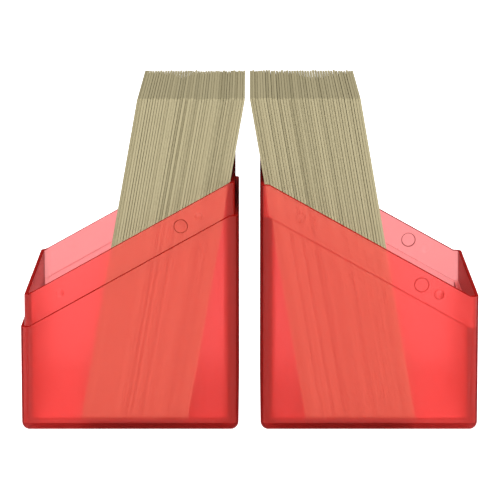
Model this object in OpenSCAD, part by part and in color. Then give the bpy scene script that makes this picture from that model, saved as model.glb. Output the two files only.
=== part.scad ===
// Two-part frosted card box, opened into two slanted trays that each hold a deck of sleeved cards.
// The base tray stands at -X and the lid, upside down as a second tray, at +X.
// Origin: on the table, midway between the two trays. +X runs along the row, +Y to the back, +Z up.

/* [Box] */
// Length of each tray along the row
tray_l = 61.6; // [55:0.1:70]
// Depth of each tray, front to back
tray_d = 77; // [73:0.5:85]
// Height of the closed box
closed_h = 100.6; // [99:0.1:110]
// Height of the base's outer rim at its low end
base_low_h = 30; // [26:0.1:34]
// Height of the base's outer rim at its tall end
base_tall_h = 61.75; // [56:0.05:64]
// Length of the level stretch of the rim at each end
rim_level = 2.4; // [2.3:0.1:5]
// Radius of the upright corners and of the bottom edges
corner_r = 2.2; // [1.6:0.1:2.3]
// Gap between the two trays on the table
tray_gap = 6.3; // [4:0.1:12]

/* [Walls] */
// Thickness of the full wall
wall = 2.2; // [2:0.1:3]
// Thickness of the floor
floor_t = 2; // [1.5:0.1:3]
// How far the lip's outer face stands in from the outer wall
lip_inset = 1.05; // [1:0.05:1.3]
// How far the lip stands above the base's outer rim
lip_h = 9.2; // [7:0.1:10]
// Gap between the lip and the lid's pocket, on each side
lip_gap = 0.1; // [0.05:0.05:0.2]

/* [Snaps] */
// Radius of each domed snap bump on the lip
bump_r = 1.25; // [0.8:0.05:1.3]
// How far a bump stands out of the lip
bump_rise = 0.35; // [0.2:0.05:0.4]
// Distance from the tray's end to a bump
bump_from_end = 11.2; // [8:0.1:12]
// Radius of the round locating pad on the lip
pad_r = 2; // [1.5:0.05:2.5]
// How far the pad stands out of the lip
pad_rise = 0.15; // [0.1:0.05:0.2]
// Distance from the tray's tall end to the pad
pad_from_end = 16.2; // [15:0.1:20]

/* [Cards] */
// Width of a sleeved card
card_w = 68.5; // [60:0.5:68.5]
// Height of a sleeved card
card_h = 93.9; // [88:0.1:94]
// Thickness of a double-sleeved card
card_t = 0.735; // [0.6:0.005:0.75]
// Air between neighbouring cards of the base's deck
air_a = 0.012; // [0.01:0.001:0.04]
// Air between neighbouring cards of the lid's deck
air_b = 0.034; // [0.01:0.001:0.04]
// Distance from the base's tall end to the foot of its deck
foot_a = 14.6; // [10:0.1:15]
// Distance from the lid's tall end to the foot of its deck
foot_b = 12.95; // [10:0.05:15]

/* [Hidden] */
$fn = 64;
lid_low_h = closed_h - base_tall_h;
lid_tall_h = closed_h - base_low_h;
pocket_inset = lip_inset - lip_gap;
pocket_depth = lip_h + 0.2;
pocket_r = 1;
cavity_r = 2;
cut = 1;
dimple_extra_r = 0.2;
dimple_depth = bump_rise;
recess_extra_r = 0.15;
recess_depth = pad_rise + 0.1;
pairs_per_deck = 20;
cards_per_pair = 2;
card_count = pairs_per_deck * cards_per_pair;
card_clear = 0.05;
trim_seed_a = 11;
trim_seed_b = 23;
slip_seed_a = 37;
slip_seed_b = 53;
card_trim = 0.35;
card_slip = 0.3;

// A card leans from its foot on the floor to the top inner edge of the tall wall.
lean_a = atan((foot_a - wall) / (base_tall_h + lip_h - floor_t));
lean_b = atan((foot_b - pocket_inset) / (lid_tall_h - floor_t));

// Each card's own height and sideways slip, so that the deck's edges are a little uneven.
trims_a = rands(0, card_trim, card_count, trim_seed_a);
trims_b = rands(0, card_trim, card_count, trim_seed_b);
slips_a = rands(-card_slip, card_slip, card_count, slip_seed_a);
slips_b = rands(-card_slip, card_slip, card_count, slip_seed_b);

function two_digits(i) = i < 10 ? str("0", i) : str(i);
function pair_name(deck, i) = str("cards_", deck, "_", two_digits(i));

// Height of a slanted rim at distance x from the low end.
function rim_height(x, low_h, tall_h) =
    low_h + (tall_h - low_h) * min(1, max(0, (x - rim_level) / (tray_l - 2 * rim_level)));

// A tray is drawn with its low end at x = 0 and its tall end at x = tray_l, centred on y = 0.
// This is a block with rounded upright corners and rounded bottom edges, inset from the outer wall.
module rounded_block(inset, bottom, top, r) {
    x0 = inset + r;
    x1 = tray_l - inset - r;
    y1 = tray_d / 2 - inset - r;
    z0 = bottom + r;
    translate([x0, -y1, bottom]) cube([x1 - x0, 2 * y1, top - bottom]);
    translate([x0 - r, -y1, z0]) cube([x1 - x0 + 2 * r, 2 * y1, top - z0]);
    translate([x0, -y1 - r, z0]) cube([x1 - x0, 2 * y1 + 2 * r, top - z0]);
    for (x = [x0, x1], y = [-y1, y1]) {
        translate([x, y, z0]) cylinder(r = r, h = top - z0);
        translate([x, y, z0]) sphere(r = r);
    }
    for (x = [x0, x1]) {
        translate([x, y1, z0]) rotate([90, 0, 0]) cylinder(r = r, h = 2 * y1);
    }
    for (y = [-y1, y1]) {
        translate([x0, y, z0]) rotate([0, 90, 0]) cylinder(r = r, h = x1 - x0);
    }
}

// Everything below the slanted rim line.
module below_rim(low_h, tall_h) {
    outline = [
        [-cut, -cut],
        [tray_l + cut, -cut],
        [tray_l + cut, tall_h],
        [tray_l - rim_level, tall_h],
        [rim_level, low_h],
        [-cut, low_h]
    ];
    translate([0, tray_d / 2 + cut, 0])
        rotate([90, 0, 0])
            linear_extrude(tray_d + 2 * cut) polygon(outline);
}

// A solid tray body under a slanted rim, inset from the outer wall.
module slanted_block(inset, low_h, tall_h) {
    intersection() {
        rounded_block(inset, 0, tall_h + cut, corner_r - min(inset, pocket_r));
        below_rim(low_h, tall_h);
    }
}

// The space for the cards, open at the top.
module cavity(top) {
    rounded_block(wall, floor_t, top, cavity_r);
}

// A shallow dome that stands out of a wide wall, centred at [x, face, z] and facing +Y.
module snap_dome(x, face, z, r, rise) {
    dome_r = (r * r + rise * rise) / (2 * rise);
    intersection() {
        translate([x, face + rise - dome_r, z]) sphere(r = dome_r);
        translate([x - r, face - rise, z - r]) cube([2 * r, 2 * rise + cut, 2 * r]);
    }
}

// A flat round pad that stands out of a wide wall, centred at [x, face, z] and facing +Y.
module round_pad(x, face, z, r, rise) {
    translate([x, face + rise, z]) rotate([90, 0, 0]) cylinder(r = r, h = 2 * rise);
}

module on_both_wide_walls() {
    children();
    mirror([0, 1, 0]) children();
}

// The base in its own tray frame: outer shell, inner lip, bumps and pads, hollowed out.
module base_tray() {
    lip_face = tray_d / 2 - lip_inset;
    difference() {
        union() {
            slanted_block(0, base_low_h, base_tall_h);
            slanted_block(lip_inset, base_low_h + lip_h, base_tall_h + lip_h);
            on_both_wide_walls() {
                for (x = [bump_from_end, tray_l - bump_from_end]) {
                    z = rim_height(x, base_low_h, base_tall_h) + lip_h / 2;
                    snap_dome(x, lip_face, z, bump_r, bump_rise);
                }
                pad_x = tray_l - pad_from_end;
                pad_z = rim_height(pad_x, base_low_h, base_tall_h) + lip_h / 2;
                round_pad(pad_x, lip_face, pad_z, pad_r, pad_rise);
            }
        }
        cavity(base_tall_h + lip_h + 2 * cut);
    }
}

// The pocket under the lid's rim that the base's lip slides into.
module lip_pocket() {
    difference() {
        rounded_block(pocket_inset, floor_t, lid_tall_h + 2 * cut, pocket_r);
        below_rim(lid_low_h - pocket_depth, lid_tall_h - pocket_depth);
    }
}

// The lid in its own tray frame: outer shell, pocket, dimples and pad recesses, hollowed out.
module lid_tray() {
    pocket_face = tray_d / 2 - pocket_inset;
    difference() {
        slanted_block(0, lid_low_h, lid_tall_h);
        cavity(lid_tall_h + 2 * cut);
        lip_pocket();
        on_both_wide_walls() {
            for (x = [bump_from_end, tray_l - bump_from_end]) {
                z = rim_height(x, lid_low_h, lid_tall_h) - lip_h / 2;
                snap_dome(x, pocket_face, z, bump_r + dimple_extra_r, dimple_depth);
            }
            recess_z = rim_height(pad_from_end, lid_low_h, lid_tall_h) - lip_h / 2;
            round_pad(pad_from_end, pocket_face, recess_z, pad_r + recess_extra_r, recess_depth);
        }
    }
}

// Places a base-side shape: low end at the far left, tall end beside the middle of the row.
module on_base_side() {
    translate([-tray_gap / 2 - tray_l, 0, 0]) children();
}

// Places a lid-side shape: mirrored, so that its tall end is beside the middle of the row.
module on_lid_side() {
    mirror([1, 0, 0]) on_base_side() children();
}

// Two neighbouring cards of a deck that leans on the tall wall; card 0 touches the wall.
module leaning_pair(i, foot, lean, air, trims, slips) {
    pitch = (card_t + air) / cos(lean);
    for (k = [cards_per_pair * (i - 1) : cards_per_pair * i - 1]) {
        translate([tray_l - foot - card_clear - k * pitch, slips[k], floor_t + card_clear])
            rotate([0, lean, 0])
                translate([-card_t, -card_w / 2, 0])
                    cube([card_t, card_w, card_h - trims[k]]);
    }
}

module base_shell() {
    color([0.85, 0.1, 0.12, 0.6])
        on_base_side() base_tray();
}

module lid_shell() {
    color([0.85, 0.1, 0.12, 0.6])
        on_lid_side() lid_tray();
}

module deck_a_pair(i) {
    color([0.78, 0.72, 0.58])
        on_base_side() leaning_pair(i, foot_a, lean_a, air_a, trims_a, slips_a);
}

module deck_b_pair(i) {
    color([0.78, 0.72, 0.58])
        on_lid_side() leaning_pair(i, foot_b, lean_b, air_b, trims_b, slips_b);
}

base_shell();
lid_shell();
for (i = [1 : pairs_per_deck]) {
    deck_a_pair(i);
    deck_b_pair(i);
}
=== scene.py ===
"""Looks of the two-part frosted card box and its two leaning decks of sleeved cards.

Everything is in metres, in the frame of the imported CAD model. Each tray is built in its own
tray frame, with its low end at x = 0 and its tall end at x = TRAY_L, and is then put in place.
"""
import math
import random

import bmesh
import bpy
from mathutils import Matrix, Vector


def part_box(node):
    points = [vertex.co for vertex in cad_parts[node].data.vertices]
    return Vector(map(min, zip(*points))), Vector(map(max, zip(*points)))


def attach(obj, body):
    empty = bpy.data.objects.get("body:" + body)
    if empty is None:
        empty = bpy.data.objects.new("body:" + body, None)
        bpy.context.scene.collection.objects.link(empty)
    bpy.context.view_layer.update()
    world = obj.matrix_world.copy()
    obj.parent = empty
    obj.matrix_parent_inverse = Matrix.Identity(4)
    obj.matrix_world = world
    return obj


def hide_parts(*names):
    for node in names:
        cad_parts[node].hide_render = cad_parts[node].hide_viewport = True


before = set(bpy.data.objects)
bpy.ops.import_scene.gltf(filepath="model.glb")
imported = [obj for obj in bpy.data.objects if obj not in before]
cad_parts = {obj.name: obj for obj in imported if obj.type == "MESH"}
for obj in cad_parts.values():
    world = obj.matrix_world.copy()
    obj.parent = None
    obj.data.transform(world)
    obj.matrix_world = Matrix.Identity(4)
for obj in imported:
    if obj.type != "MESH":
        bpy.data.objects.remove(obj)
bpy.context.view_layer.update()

MM = 0.001

# ---------------------------------------------------------------- sizes

BASE_LO, BASE_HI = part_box("base_shell")
LID_LO, LID_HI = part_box("lid_shell")
TRAY_L = BASE_HI.x - BASE_LO.x
TRAY_D = BASE_HI.y - BASE_LO.y
LIP_H = 9.2 * MM
BASE_LOW_H = 30 * MM
BASE_TALL_H = BASE_HI.z - LIP_H
LID_TALL_H = LID_HI.z
CLOSED_H = BASE_LOW_H + LID_TALL_H
LID_LOW_H = CLOSED_H - BASE_TALL_H
RIM_LEVEL = 2.4 * MM
CORNER_R = 2.2 * MM
WALL = 2.2 * MM
FLOOR_T = 2 * MM
CAVITY_R = 2 * MM
POCKET_R = 1 * MM
LIP_INSET = 1.05 * MM
LIP_R = 1.2 * MM
POCKET_INSET = 0.95 * MM
POCKET_DEPTH = LIP_H + 0.2 * MM

# Roundings of the rims, of the lip's top and of the ledges.
RIM_EDGE = 0.25 * MM
LIP_EDGE = 0.3 * MM
FILLET = 0.2 * MM

# Snap bumps and the round pad on the lip, and their dimples and recess in the lid's pocket.
BUMP_FROM_END = 11.2 * MM
BUMP_R = 1.25 * MM
BUMP_RISE = 0.35 * MM
DIMPLE_R = 1.45 * MM
PAD_FROM_END = 16.2 * MM
PAD_R = 2 * MM
PAD_RISE = 0.15 * MM
RECESS_R = 2.15 * MM
RECESS_DEPTH = 0.25 * MM
# MARK_EDGE and MARK_RING also give the widths of the painted shade rings round the pads and recesses, and
# DIMPLE_RING that of the painted shade ring round each dimple on the lid's front wall.
MARK_EDGE = 0.2 * MM
MARK_RING = 0.3 * MM
DIMPLE_RING = 0.25 * MM

CORNER_STEPS = 8
ARC_STEPS = 5
SIDE_STEPS = 5
DOME_STEPS = 5
DOME_TOP_DEG = 6
MARK_STEPS = 40


# ---------------------------------------------------------------- mesh helpers

MERGE = 1e-6
SHARP_DEG = 50


def arc(start_deg, end_deg, steps):
    """Angles in radians from start to end, both ends included."""
    return [math.radians(start_deg + (end_deg - start_deg) * i / steps) for i in range(steps + 1)]


def rounded_outline(x0, x1, y0, y1, radius, steps, along_x=()):
    """A rounded rectangle, counter-clockwise, with extra points at the x values of along_x."""
    corners = [
        (x1 - radius, y0 + radius, -90),
        (x1 - radius, y1 - radius, 0),
        (x0 + radius, y1 - radius, 90),
        (x0 + radius, y0 + radius, 180),
    ]
    points = [(x, y0) for x in along_x]
    for i, (cx, cy, turn) in enumerate(corners):
        for a in arc(turn, turn + 90, steps):
            points.append((cx + radius * math.cos(a), cy + radius * math.sin(a)))
        if i == 1:
            points.extend((x, y1) for x in reversed(along_x))
    return points


def loft(rings):
    """A closed mesh through rings that all have the same number of points."""
    bm = bmesh.new()
    rows = [[bm.verts.new(p) for p in ring] for ring in rings]
    count = len(rings[0])
    for low, high in zip(rows, rows[1:]):
        for i in range(count):
            j = (i + 1) % count
            bm.faces.new((low[i], low[j], high[j], high[i]))
    bm.faces.new(list(reversed(rows[0])))
    bm.faces.new(rows[-1])
    return bm


def link_mesh(bm, name):
    """Turns a bmesh into an object of the scene, with its faces turned outwards."""
    bmesh.ops.recalc_face_normals(bm, faces=bm.faces)
    mesh = bpy.data.meshes.new(name)
    bm.to_mesh(mesh)
    bm.free()
    obj = bpy.data.objects.new(name, mesh)
    bpy.context.scene.collection.objects.link(obj)
    return obj


def finish_mesh(bm, name):
    """Merges the points that coincide, and makes an object."""
    bmesh.ops.remove_doubles(bm, verts=bm.verts, dist=MERGE)
    bmesh.ops.dissolve_degenerate(bm, edges=bm.edges, dist=MERGE)
    return link_mesh(bm, name)


def apply_modifiers(obj):
    """Replaces an object's mesh by its evaluated one."""
    graph = bpy.context.evaluated_depsgraph_get()
    mesh = bpy.data.meshes.new_from_object(obj.evaluated_get(graph))
    obj.modifiers.clear()
    obj.data = mesh


def combine(obj, tools, operation):
    """Joins tools to obj, or cuts them out of it, with the exact solver."""
    for tool in tools:
        step = obj.modifiers.new("combine", "BOOLEAN")
        step.object = tool
        step.operation = operation
        step.solver = "EXACT"
        apply_modifiers(obj)
        bpy.data.objects.remove(tool)


def smooth(obj):
    """Smooth shading that keeps flat walls flat and sharp edges sharp."""
    for polygon in obj.data.polygons:
        polygon.use_smooth = True
    obj.data.set_sharp_from_angle(angle=math.radians(SHARP_DEG))
    weighted = obj.modifiers.new("weighted", "WEIGHTED_NORMAL")
    weighted.keep_sharp = True


# ---------------------------------------------------------------- trays

def rim_height(x, low_h, tall_h):
    """Height of a slanted rim at distance x from the low end."""
    share = (x - RIM_LEVEL) / (TRAY_L - 2 * RIM_LEVEL)
    return low_h + (tall_h - low_h) * min(1, max(0, share))


def tray_ring(inset, radius, height):
    """One ring of a tray. height(x) gives the height of each of its points."""
    start = max(RIM_LEVEL, inset + radius + 0.05 * MM)
    xs = [start + (TRAY_L - 2 * start) * i / SIDE_STEPS for i in range(SIDE_STEPS + 1)]
    outline = rounded_outline(
        inset, TRAY_L - inset, inset - TRAY_D / 2, TRAY_D / 2 - inset, radius, CORNER_STEPS, xs
    )
    return [(x, y, height(x)) for x, y in outline]


def level(z):
    """The height of a level ring."""
    return lambda x: z


def above_rim(low_h, tall_h, offset):
    """The height of a ring that runs a distance above a slanted rim."""
    return lambda x: rim_height(x, low_h, tall_h) + offset


def bottom_rings():
    """From the flat underside round to the foot of the outer wall."""
    rings = []
    for a in arc(0, 90, ARC_STEPS):
        inset = CORNER_R * (1 - math.sin(a))
        rings.append(tray_ring(inset, CORNER_R - inset, level(CORNER_R * (1 - math.cos(a)))))
    return rings


def rim_rings(low_h, tall_h, inset, radius, edge, offset=0.0):
    """The rounded outer edge of a slanted rim, going up and inwards."""
    rings = []
    for a in arc(0, 90, ARC_STEPS):
        step = edge * (1 - math.cos(a))
        height = above_rim(low_h, tall_h, offset - edge * (1 - math.sin(a)))
        rings.append(tray_ring(inset + step, radius - step, height))
    return rings


def inner_rim_rings(low_h, tall_h, inset, radius, edge, offset=0.0):
    """The rounded inner edge of a slanted rim, going inwards and down."""
    rings = []
    for a in arc(90, 0, ARC_STEPS):
        step = edge * (1 - math.cos(a))
        height = above_rim(low_h, tall_h, offset - edge * (1 - math.sin(a)))
        rings.append(tray_ring(inset - step, radius + step, height))
    return rings


def cavity_rings():
    """The foot of the inner face, its fillet and the inner floor."""
    rings = []
    for a in arc(0, 90, ARC_STEPS):
        step = CAVITY_R * (1 - math.cos(a))
        height = FLOOR_T + CAVITY_R * (1 - math.sin(a))
        rings.append(tray_ring(WALL + step, CAVITY_R - step, level(height)))
    return rings


def pad_profile(radius, rise):
    """The radius and height of each ring of a flat pad with a sloping edge."""
    return [(radius, 0.0), (radius - MARK_EDGE, rise), (radius - MARK_RING, rise)]


def dome_profile(radius, rise):
    """The radius and height of each ring of a shallow dome, from its foot to near its top."""
    dome_r = (radius * radius + rise * rise) / (2 * rise)
    foot = math.degrees(math.asin(radius / dome_r))
    angles = arc(foot, DOME_TOP_DEG, DOME_STEPS)
    return [(dome_r * math.sin(a), rise - dome_r * (1 - math.cos(a))) for a in angles]


def mark_tool(x, face, z, side, profile, sink):
    """A round solid on a wide wall, sunk into it. side is +1 on the back wall and -1 on the front one."""
    turns = arc(0, 360, MARK_STEPS)[:-1]
    rings = []
    for r, h in [(profile[0][0], -sink)] + profile:
        rings.append([(x + r * math.cos(t), side * (face + h), z + r * math.sin(t)) for t in turns])
    return finish_mesh(loft(rings), "snap")


def mark_tools(face, height, dome, pad_x, pad, sink):
    """The two domes and the pad of each wide wall. height(x) gives the height of their middles."""
    tools = []
    for side in (-1, 1):
        for x in (BUMP_FROM_END, TRAY_L - BUMP_FROM_END):
            tools.append(mark_tool(x, face, height(x), side, dome, sink))
        tools.append(mark_tool(pad_x, face, height(pad_x), side, pad, sink))
    return tools


# Material slots of a tray: its walls, dark painted shade for its narrow edges, and lighter painted shade
# for the inner faces of its short walls, its bottom edges, its corners and the rings of its marks.
WALL_SLOT = 0
DARK_SHADE_SLOT = 1
SOFT_SHADE_SLOT = 2

# Widths of the lines and bands of painted shade, and how far past one a face may reach.
RIM_LINE = RIM_EDGE + 0.02 * MM
LEDGE_LINE = 0.12 * MM
LIP_LINE = 0.15 * MM
LIP_END_BAND = 0.3 * MM
CORNER_BAND = 0.66 * MM
CORNER_LINE = 0.28 * MM
SLACK = 0.1 * MM
FINE_SLACK = 0.01 * MM
MARK_SLACK = 0.02 * MM

# Sizes of a face's normal along an axis: 1 when the face is square to the axis, 0 when it lies along it.
SQUARE = 0.98
FLAT_FLOOR = 0.99
UPRIGHT = 0.01
FILLET_FROM = 0.3
INNER_CORNER_FROM = 0.5


def paint(tray, slot, test):
    """Gives a material slot to each face whose corners and normal pass the test."""
    for polygon in tray.data.polygons:
        corners = [tray.data.vertices[i].co for i in polygon.vertices]
        if test(corners, polygon.normal):
            polygon.material_index = slot


def paint_rim(tray, slot, height, width, side=0):
    """Gives a slot to the narrow faces along a slanted rim or ledge, all round or on one wide wall: a dark
    line of painted shade, or the plain walls again.
    """
    def on_rim(corners, normal):
        if side and any(c.y * side < TRAY_D / 2 - WALL - SLACK for c in corners):
            return False
        return all(abs(c.z - height(c.x)) < width for c in corners)

    paint(tray, slot, on_rim)


def paint_mark(tray, x, z, radius, ring, side=0):
    """Paints the outer ring of a round mark with the lighter painted shade, on both wide walls or on one of
    them.
    """
    def on_mark(corners, normal):
        if any(c.y * side < 0 or abs(c.y) < TRAY_D / 2 - WALL for c in corners):
            return False
        middle = sum(corners, Vector()) / len(corners)
        if math.hypot(middle.x - x, middle.z - z) < radius / 2:
            return False
        return all(
            -ring - MARK_SLACK < math.hypot(c.x - x, c.z - z) - radius < MARK_SLACK for c in corners
        )

    paint(tray, SOFT_SHADE_SLOT, on_mark)


def paint_ends(tray, near):
    """Gives the lighter painted shade to the upright flat faces of the short walls, at the low end only
    those past a distance.
    """
    def on_end(corners, normal):
        at_low_end = all(near - SLACK < c.x < WALL + SLACK for c in corners)
        at_tall_end = all(-SLACK < TRAY_L - c.x < WALL + SLACK for c in corners)
        return (at_low_end or at_tall_end) and abs(normal.x) > SQUARE

    paint(tray, SOFT_SHADE_SLOT, on_end)


def paint_bottom(tray):
    """Gives the lighter painted shade to the rounded bottom edges, outside and inside."""
    def on_bottom(corners, normal):
        outside = all(c.z < CORNER_R + FINE_SLACK for c in corners) and normal.z < UPRIGHT
        fillet = all(c.z < FLOOR_T + CAVITY_R for c in corners) and normal.z > FILLET_FROM
        return (outside or fillet) and abs(normal.z) < FLAT_FLOOR

    paint(tray, SOFT_SHADE_SLOT, on_bottom)


def paint_inner_corners(tray):
    """Gives the lighter painted shade to the rounded upright corners of the cavity along its front wall."""
    def on_inner_corner(corners, normal):
        inside = all(-FINE_SLACK < min(c.x, TRAY_L - c.x) - WALL < CAVITY_R for c in corners)
        in_front = all(c.y < 0 for c in corners)
        return inside and in_front and INNER_CORNER_FROM < abs(normal.x) < SQUARE

    paint(tray, SOFT_SHADE_SLOT, on_inner_corner)


def paint_corners(tray, slot, width, most_x, most_y):
    """Gives a slot of painted shade to the outer part of the upright corners, on faces whose normal is
    under two limits.
    """
    def on_corner(corners, normal):
        outer = all(min(c.x, TRAY_L - c.x) < width for c in corners)
        return outer and abs(normal.x) < most_x and abs(normal.y) < most_y

    paint(tray, slot, on_corner)


def paint_outline(tray):
    """Gives painted shade to the rounded edges that the tray's outline is seen by, so that the outline
    reads darker.
    """
    paint_bottom(tray)
    paint_inner_corners(tray)
    paint_corners(tray, SOFT_SHADE_SLOT, CORNER_BAND, 0.995, 0.8)
    paint_corners(tray, DARK_SHADE_SLOT, CORNER_LINE, 0.999, 0.7)


def on_lip_end(corners, normal):
    """True for the upright outer face of the lip at the tall end, and its fillet, which get the dark
    painted shade.
    """
    return all(
        abs(TRAY_L - c.x - LIP_INSET) < LIP_END_BAND and c.z > BASE_TALL_H - LIP_END_BAND for c in corners
    )


BUMP_SINK = 0.2 * MM
DIMPLE_SINK = 0.3 * MM


def base_tray():
    """The base: outer shell, ledge, inner lip with its bumps and pads, and the cavity."""
    low_h, tall_h = BASE_LOW_H, BASE_TALL_H
    rings = bottom_rings()
    rings += rim_rings(low_h, tall_h, 0, CORNER_R, RIM_EDGE)
    for a in arc(0, 90, ARC_STEPS):
        inset = LIP_INSET - FILLET * (1 - math.sin(a))
        height = above_rim(low_h, tall_h, FILLET * (1 - math.cos(a)))
        rings.append(tray_ring(inset, LIP_R + LIP_INSET - inset, height))
    rings += rim_rings(low_h, tall_h, LIP_INSET, LIP_R, LIP_EDGE, LIP_H)
    rings += inner_rim_rings(low_h, tall_h, WALL, CAVITY_R, LIP_EDGE, LIP_H)
    rings += cavity_rings()
    tray = finish_mesh(loft(rings), "base_tray")
    marks_height = above_rim(low_h, tall_h, LIP_H / 2)
    pad_x = TRAY_L - PAD_FROM_END
    bump, pad = dome_profile(BUMP_R, BUMP_RISE), pad_profile(PAD_R, PAD_RISE)
    combine(tray, mark_tools(TRAY_D / 2 - LIP_INSET, marks_height, bump, pad_x, pad, BUMP_SINK), "UNION")
    # Painted shade: a darker outline, dark lines along the ledge and the lip's top and on the lip's tall
    # end, shaded inner faces of the short walls and a shaded ring round the pad. The ledge along the back
    # wall is given back the plain walls.
    paint_outline(tray)
    paint_ends(tray, LIP_INSET)
    ledge_height = above_rim(low_h, tall_h, 0)
    paint_rim(tray, DARK_SHADE_SLOT, ledge_height, LEDGE_LINE)
    paint_rim(tray, WALL_SLOT, ledge_height, LEDGE_LINE, 1)
    paint_rim(tray, DARK_SHADE_SLOT, above_rim(low_h, tall_h, LIP_H), LIP_LINE)
    paint(tray, DARK_SHADE_SLOT, on_lip_end)
    paint_mark(tray, pad_x, marks_height(pad_x), PAD_R, MARK_EDGE)
    return tray


def lid_tray():
    """The lid: outer shell with a thin rim, the pocket with its dimples and recesses, and the cavity."""
    low_h, tall_h = LID_LOW_H, LID_TALL_H
    rings = bottom_rings()
    rings += rim_rings(low_h, tall_h, 0, CORNER_R, RIM_EDGE)
    rings += inner_rim_rings(low_h, tall_h, POCKET_INSET, POCKET_R, RIM_EDGE)
    for a in arc(0, 90, ARC_STEPS):
        inset = POCKET_INSET + FILLET * (1 - math.cos(a))
        height = above_rim(low_h, tall_h, FILLET * (1 - math.sin(a)) - POCKET_DEPTH)
        rings.append(tray_ring(inset, POCKET_R, height))
    rings += inner_rim_rings(low_h, tall_h, WALL, CAVITY_R, RIM_EDGE, -POCKET_DEPTH)
    rings += cavity_rings()
    tray = finish_mesh(loft(rings), "lid_tray")
    marks_height = above_rim(low_h, tall_h, -LIP_H / 2)
    dimple, recess = dome_profile(DIMPLE_R, BUMP_RISE), pad_profile(RECESS_R, RECESS_DEPTH)
    tools = mark_tools(TRAY_D / 2 - POCKET_INSET, marks_height, dimple, PAD_FROM_END, recess, DIMPLE_SINK)
    combine(tray, tools, "DIFFERENCE")
    # Painted shade: a darker outline, shaded inner faces of the short walls, dark lines along the rim and
    # along the pocket's ledge on the front wall, and shaded rings round the front dimples and round both
    # recesses.
    paint_outline(tray)
    paint_ends(tray, POCKET_INSET)
    paint_rim(tray, DARK_SHADE_SLOT, above_rim(low_h, tall_h, 0), RIM_LINE)
    paint_rim(tray, DARK_SHADE_SLOT, above_rim(low_h, tall_h, -POCKET_DEPTH), RIM_LINE, -1)
    for x in (BUMP_FROM_END, TRAY_L - BUMP_FROM_END):
        paint_mark(tray, x, marks_height(x), DIMPLE_R, DIMPLE_RING, -1)
    for side, ring in ((1, MARK_EDGE), (-1, MARK_RING)):
        paint_mark(tray, PAD_FROM_END, marks_height(PAD_FROM_END), RECESS_R, ring, side)
    return tray


def put_tray(tray, lo, hi, mirrored):
    """Moves a tray's mesh from its tray frame to its place, mirrored in x for the lid."""
    for vertex in tray.data.vertices:
        vertex.co.x = hi.x - vertex.co.x if mirrored else lo.x + vertex.co.x
    if mirrored:
        tray.data.flip_normals()
    smooth(tray)
    return tray


# ---------------------------------------------------------------- cards

CARD_STEPS = 3
CARD_MARGIN = 1.5 * MM
CARD_CORNER = 3 * MM
SLEEVE_CORNER = 0.6 * MM
BORDER_SINK = 0.01 * MM
PANEL_SLOPE = 0.15 * MM
# The film bulges into the air between the cards, which is narrower in the base.
BULGE_A = 0.005 * MM
BULGE_B = 0.015 * MM
# Half of a deck's film edges are flush, and the others have a bevel, so that the gaps differ.
FLUSH_SHARE = 0.5
FLUSH_BEVEL = 0.005 * MM
BEVEL_MM = (0.02, 0.08)
TAPER_MM = (0.3, 0.7)
# How much darker than its border a card's panel is, in the tone that card_stock reads.
PRINT_TONE = 1.0
SEED_A = 5
SEED_B = 8


def cards_of(node):
    """The cards of a CAD node, each as (corner, thickness, width and height vectors)."""
    bm = bmesh.new()
    bm.from_mesh(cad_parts[node].data)
    bmesh.ops.remove_doubles(bm, verts=bm.verts, dist=MERGE)
    left = set(bm.verts)
    found = []
    while left:
        island, queue = set(), [left.pop()]
        while queue:
            vert = queue.pop()
            island.add(vert)
            near = {e.other_vert(vert) for e in vert.link_edges} & left
            left -= near
            queue.extend(near)
        found.append(sorted((v.co.copy() for v in island), key=lambda c: (round(c.y, 6), c.z)))
    bm.free()
    cards = []
    for corners in found:
        front, back = corners[:4], corners[4:]
        cards.append((front[0], front[1] - front[0], back[0] - front[0], front[2] - front[0]))
    return sorted(cards, key=lambda card: abs(card[0].x))


def card_mesh(bm, card, bulge, rng, layer):
    """Adds one sleeved card: film with a flat border that bulges a little where the card lies in it."""
    corner, thick, wide, high = card
    t, w, h = thick.length, wide.length, high.length
    axes = (thick.normalized(), wide.normalized(), high.normalized())

    def at(depth, across, up):
        return corner + axes[0] * depth + axes[1] * across + axes[2] * up

    def ring(depth, inset, radius):
        outline = rounded_outline(inset, w - inset, inset, h - inset, radius, CARD_STEPS)
        return [at(depth, across, up) for across, up in outline]

    taper = rng.uniform(*TAPER_MM) * MM
    bands = []
    for face, inwards in ((0.0, 1), (t, -1)):
        flush = rng.random() < FLUSH_SHARE
        bevel = FLUSH_BEVEL if flush else rng.uniform(*BEVEL_MM) * MM
        bands.append([
            ring(face - inwards * bulge, CARD_MARGIN + PANEL_SLOPE, CARD_CORNER),
            ring(face + inwards * BORDER_SINK, CARD_MARGIN, CARD_CORNER),
            ring(face + inwards * BORDER_SINK, taper, SLEEVE_CORNER),
            ring(face + inwards * (BORDER_SINK + bevel), 0, SLEEVE_CORNER),
        ])
    tone = rng.random()
    rows = [[bm.verts.new(p) for p in row] for row in bands[0] + list(reversed(bands[1]))]
    count = len(rows[0])
    for low, high_row in zip(rows, rows[1:]):
        for i in range(count):
            j = (i + 1) % count
            bm.faces.new((low[i], low[j], high_row[j], high_row[i]))
    bm.faces.new(list(reversed(rows[0])))
    bm.faces.new(rows[-1])
    for i, row in enumerate(rows):
        printed = i in (0, len(rows) - 1)
        for vert in row:
            vert[layer] = tone - PRINT_TONE if printed else tone


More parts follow.
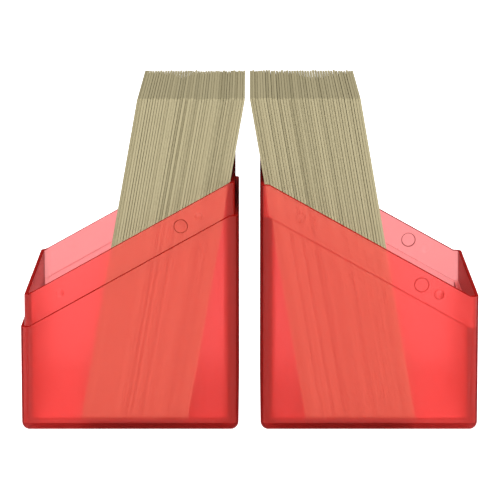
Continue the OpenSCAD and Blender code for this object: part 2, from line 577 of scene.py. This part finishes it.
def deck_pieces(deck, body_of_first, bulge, material, seed):
    """Makes one piece for each CAD node of a deck, with the sleeved cards of that node."""
    rng = random.Random(seed)
    nodes = sorted(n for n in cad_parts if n.startswith(f"cards_{deck}_"))
    for node in nodes:
        bm = bmesh.new()
        layer = bm.verts.layers.float.new("tone")
        for card in cards_of(node):
            card_mesh(bm, card, bulge, rng, layer)
        piece = link_mesh(bm, f"sleeved_{node}")
        piece.data.materials.append(material)
        body = body_of_first if node.endswith("_01") else node
        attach(piece, body)
        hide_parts(node)


# ---------------------------------------------------------------- materials

# The volume takes light away with depth: a little of the red, and more of the green and blue.
PLASTIC_DENSITY = 60
PLASTIC_DEPTH_TINT = (0.75, 0.0, 0.0, 1)
PIGMENT_ROUGHNESS = 0.6

# The frosting: broad clouds in its roughness, and a fine grain on its surface.
CLOUD_SCALE = 60
CLOUD_DETAIL = 3
CLOUD_SPREAD = 0.04
GRAIN_SCALE = 2500
GRAIN_DETAIL = 2
GRAIN_STRENGTH = 0.15
GRAIN_DEPTH = 0.05 * MM

FIBRE_SCALE = 1500
FIBRE_DETAIL = 2
FIBRE_SHARE = 0.9
CARD_TONE_FROM = 0.2
CARD_DARK = (0.248, 0.216, 0.128, 1)
CARD_LIGHT = (0.356, 0.311, 0.19, 1)
CARD_ROUGHNESS = 0.6


def node_tree(name):
    """A new material, its node tree and its Principled shader."""
    material = bpy.data.materials.new(name)
    material.use_nodes = True
    tree = material.node_tree
    return material, tree, tree.nodes["Principled BSDF"]


def add_noise(tree, scale, detail):
    """The output of a noise texture that is fixed to the piece."""
    place = tree.nodes.new("ShaderNodeTexCoord")
    noise = tree.nodes.new("ShaderNodeTexNoise")
    noise.inputs["Scale"].default_value = scale
    noise.inputs["Detail"].default_value = detail
    tree.links.new(place.outputs["Object"], noise.inputs["Vector"])
    return noise.outputs["Fac"]


def frost(tree, glass, roughness):
    """Gives a shader a cloudy roughness and a fine grain."""
    spread = tree.nodes.new("ShaderNodeMapRange")
    spread.inputs["To Min"].default_value = roughness - CLOUD_SPREAD
    spread.inputs["To Max"].default_value = roughness + CLOUD_SPREAD
    tree.links.new(add_noise(tree, CLOUD_SCALE, CLOUD_DETAIL), spread.inputs["Value"])
    tree.links.new(spread.outputs[0], glass.inputs["Roughness"])
    bump = tree.nodes.new("ShaderNodeBump")
    bump.inputs["Strength"].default_value = GRAIN_STRENGTH
    bump.inputs["Distance"].default_value = GRAIN_DEPTH
    tree.links.new(add_noise(tree, GRAIN_SCALE, GRAIN_DETAIL), bump.inputs["Height"])
    tree.links.new(bump.outputs[0], glass.inputs["Normal"])


def let_light_through(tree, shader):
    """Lets lamps and bounced light pass, so that what is behind a wall is lit."""
    path = tree.nodes.new("ShaderNodeLightPath")
    clear = tree.nodes.new("ShaderNodeBsdfTransparent")
    for kind in ("Is Diffuse Ray", "Is Shadow Ray"):
        pick = tree.nodes.new("ShaderNodeMixShader")
        tree.links.new(path.outputs[kind], pick.inputs[0])
        tree.links.new(shader.outputs[0], pick.inputs[1])
        tree.links.new(clear.outputs[0], pick.inputs[2])
        shader = pick
    return shader


def frosted_plastic(name, tint, pigment, share, roughness, ior):
    """Translucent red plastic: frosted and clear, mixed with a share of pigment that scatters red light."""
    material, tree, glass = node_tree(name)
    glass.inputs["Base Color"].default_value = (*tint, 1)
    glass.inputs["IOR"].default_value = ior
    glass.inputs["Transmission Weight"].default_value = 1.0
    frost(tree, glass, roughness)
    body = tree.nodes.new("ShaderNodeBsdfPrincipled")
    body.inputs["Base Color"].default_value = (*pigment, 1)
    body.inputs["Roughness"].default_value = PIGMENT_ROUGHNESS
    body.inputs["Specular IOR Level"].default_value = 0.0
    whole = tree.nodes.new("ShaderNodeMixShader")
    whole.inputs[0].default_value = share
    tree.links.new(glass.outputs[0], whole.inputs[1])
    tree.links.new(body.outputs[0], whole.inputs[2])
    volume = tree.nodes.new("ShaderNodeVolumeAbsorption")
    volume.inputs["Color"].default_value = PLASTIC_DEPTH_TINT
    volume.inputs["Density"].default_value = PLASTIC_DENSITY
    output = tree.nodes["Material Output"]
    tree.links.new(let_light_through(tree, whole).outputs[0], output.inputs["Surface"])
    tree.links.new(volume.outputs[0], output.inputs["Volume"])
    return material


def card_stock():
    """Cream card edges in matt film: each card has its own tone, with fine mottling."""
    material, tree, shader = node_tree("sleeved_card_edges")
    tone = tree.nodes.new("ShaderNodeAttribute")
    tone.attribute_name = "tone"
    shade = tree.nodes.new("ShaderNodeMath")
    shade.operation = "MULTIPLY_ADD"
    shade.inputs[1].default_value = FIBRE_SHARE
    tree.links.new(add_noise(tree, FIBRE_SCALE, FIBRE_DETAIL), shade.inputs[0])
    tree.links.new(tone.outputs["Fac"], shade.inputs[2])
    ramp = tree.nodes.new("ShaderNodeValToRGB")
    dark, light = ramp.color_ramp.elements
    dark.position = CARD_TONE_FROM
    dark.color = CARD_DARK
    light.position = 1.0
    light.color = CARD_LIGHT
    tree.links.new(shade.outputs[0], ramp.inputs["Fac"])
    tree.links.new(ramp.outputs["Color"], shader.inputs["Base Color"])
    shader.inputs["Roughness"].default_value = CARD_ROUGHNESS
    shader.inputs["Specular IOR Level"].default_value = 0.0
    return material


# ---------------------------------------------------------------- stage

CAMERA_AT = Vector((0, -0.9085, 0.2039))
CAMERA_PITCH_DEG = 9.9
CAMERA_LENS = 226.1
CAMERA_SENSOR = 36
CAMERA_SHIFT = 0.0009


def add_camera():
    """A long lens in front of the row, a little above it."""
    data = bpy.data.cameras.new("camera")
    data.lens = CAMERA_LENS
    data.sensor_width = CAMERA_SENSOR
    data.shift_x = CAMERA_SHIFT
    camera = bpy.data.objects.new("camera", data)
    camera.location = CAMERA_AT
    camera.rotation_euler = (math.radians(90 - CAMERA_PITCH_DEG), 0, 0)
    bpy.context.scene.collection.objects.link(camera)
    bpy.context.scene.camera = camera


# The floor glows enough to be seen as pure white, and gives less light than that to the box.
FLOOR_GLOW = 0.18
FLOOR_GLOW_SEEN = 1.0
FLOOR_HALF = 6
FLOOR_BELOW = 0.2 * MM
FLOOR_COLOUR = (0.85, 0.85, 0.85, 1)
FLOOR_ROUGHNESS = 0.9


def add_floor():
    """A white floor just under the trays."""
    bm = bmesh.new()
    bmesh.ops.create_grid(bm, x_segments=4, y_segments=4, size=FLOOR_HALF)
    floor = finish_mesh(bm, "floor")
    floor.location.z = -FLOOR_BELOW
    material, tree, shader = node_tree("white_sweep")
    shader.inputs["Base Color"].default_value = FLOOR_COLOUR
    shader.inputs["Roughness"].default_value = FLOOR_ROUGHNESS
    shader.inputs["Emission Color"].default_value = (1, 1, 1, 1)
    path = tree.nodes.new("ShaderNodeLightPath")
    lit = tree.nodes.new("ShaderNodeMapRange")
    lit.inputs["To Min"].default_value = FLOOR_GLOW
    lit.inputs["To Max"].default_value = FLOOR_GLOW_SEEN
    tree.links.new(path.outputs["Is Camera Ray"], lit.inputs["Value"])
    tree.links.new(lit.outputs[0], shader.inputs["Emission Strength"])
    floor.data.materials.append(material)


# Brightness of the soft light that comes from each side of the studio, and from under the floor.
LIGHT_SIDES = 0.55
LIGHT_FRONT = 3.03
LIGHT_BACK = 1.4
LIGHT_ABOVE = 1.08
LIGHT_BELOW = 1.0


def add_world():
    """A white room that glows from all sides, blended smoothly by direction.

    The strength is the dot product of the direction's squared parts and the lights on its three sides.
    """
    world = bpy.data.worlds.new("studio")
    world.use_nodes = True
    tree = world.node_tree
    place = tree.nodes.new("ShaderNodeTexCoord")
    squared = tree.nodes.new("ShaderNodeVectorMath")
    squared.operation = "MULTIPLY"
    tree.links.new(place.outputs["Generated"], squared.inputs[0])
    tree.links.new(place.outputs["Generated"], squared.inputs[1])
    parts = tree.nodes.new("ShaderNodeSeparateXYZ")
    tree.links.new(place.outputs["Generated"], parts.inputs[0])
    lights = tree.nodes.new("ShaderNodeCombineXYZ")
    lights.inputs["X"].default_value = LIGHT_SIDES
    for axis, low, high in (("Y", LIGHT_FRONT, LIGHT_BACK), ("Z", LIGHT_BELOW, LIGHT_ABOVE)):
        pick = tree.nodes.new("ShaderNodeMapRange")
        pick.interpolation_type = "STEPPED"
        pick.inputs["Steps"].default_value = 1
        pick.inputs["From Min"].default_value = -1
        pick.inputs["To Min"].default_value = low
        pick.inputs["To Max"].default_value = high
        tree.links.new(parts.outputs[axis], pick.inputs["Value"])
        tree.links.new(pick.outputs[0], lights.inputs[axis])
    blend = tree.nodes.new("ShaderNodeVectorMath")
    blend.operation = "DOT_PRODUCT"
    tree.links.new(squared.outputs[0], blend.inputs[0])
    tree.links.new(lights.outputs[0], blend.inputs[1])
    back = tree.nodes["Background"]
    back.inputs["Color"].default_value = (1, 1, 1, 1)
    tree.links.new(blend.outputs["Value"], back.inputs["Strength"])
    bpy.context.scene.world = world


# ---------------------------------------------------------------- make it

bpy.context.scene.view_settings.view_transform = "Standard"
add_camera()
add_world()
add_floor()

# The plastics are listed in the order of the trays' material slots.
plastics = (
    frosted_plastic(
        "frosted_red_plastic", tint=(1.0, 0.425, 0.435), pigment=(1.0, 0.024, 0.01),
        share=0.2, roughness=0.3, ior=1.37,
    ),
    # Dark painted shade, for the rim and ledge lines, the lip's tall end and the outline's corner lines.
    frosted_plastic(
        "frosted_red_edge_shade", tint=(0.6, 0.15, 0.15), pigment=(0.32, 0.008, 0.006),
        share=0.92, roughness=0.5, ior=1.1,
    ),
    # Lighter painted shade, for the inner faces of the short walls, the bottom edges, the corners and the
    # rings of the marks.
    frosted_plastic(
        "frosted_red_soft_shade", tint=(0.72, 0.17, 0.17), pigment=(0.48, 0.018, 0.014),
        share=0.2, roughness=0.55, ior=1.1,
    ),
)
paper = card_stock()

base = put_tray(base_tray(), BASE_LO, BASE_HI, False)
lid = put_tray(lid_tray(), LID_LO, LID_HI, True)
for tray, body, node in ((base, "base", "base_shell"), (lid, "lid", "lid_shell")):
    for material in plastics:
        tray.data.materials.append(material)
    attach(tray, body)
    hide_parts(node)

deck_pieces("a", "deck_a", BULGE_A, paper, SEED_A)
deck_pieces("b", "deck_b", BULGE_B, paper, SEED_B)
